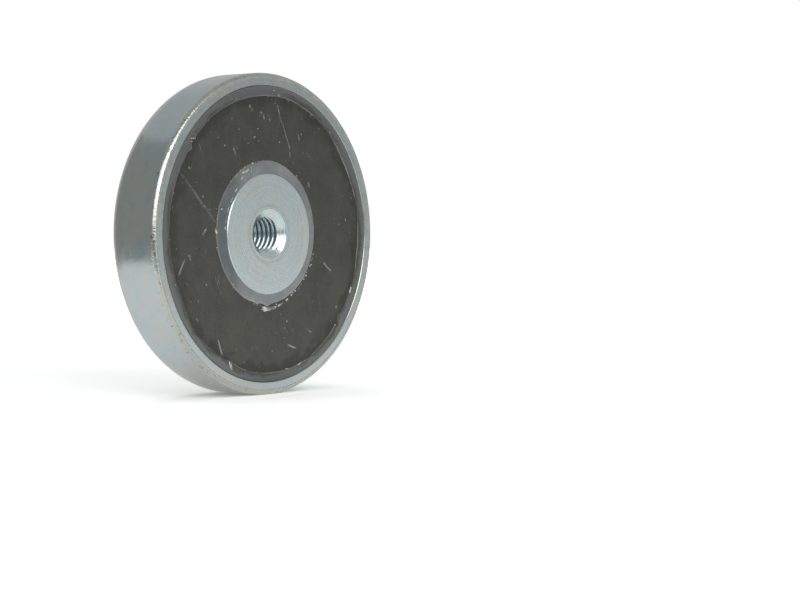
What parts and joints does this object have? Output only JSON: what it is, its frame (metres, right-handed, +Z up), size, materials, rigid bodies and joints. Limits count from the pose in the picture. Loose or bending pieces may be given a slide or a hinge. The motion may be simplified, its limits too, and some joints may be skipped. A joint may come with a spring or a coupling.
{
  "type": "pot magnet",
  "caption": "Shallow round pot magnet with a threaded steel core, for a rope's eyebolt; it pulls iron and steel on its flat pole face.",
  "frame": {"origin": "on the ground under the middle of the rim, with the magnet standing on its rim; it isn't stable so, and tips onto its back when simulated", "axes": "+Z up; the thread's axis is level along Y, 40 mm above the origin; the pole face looks to -Y and the back, where the eyebolt goes in, to +Y"},
  "size_m": [0.08, 0.018, 0.08],
  "materials": {
    "zinc_plated_cup": "satin blue-passivated zinc plating on drawn steel",
    "zinc_plated_core": "blue-passivated zinc plating over fine turning rings",
    "ferrite": "ground hard ferrite, dark warm grey, matt",
    "resin": "cast grey potting resin, slightly glossy, with an uneven edge",
    "glue": "hard glue film, hidden"
  },
  "bodies": {
    "root": {"pot": "zinc_plated_cup", "core": "zinc_plated_core", "ferrite_ring": "ferrite", "outer_resin_ring": "resin", "inner_resin_ring": "resin", "glue_film": "glue"}
  },
  "joints": []
}
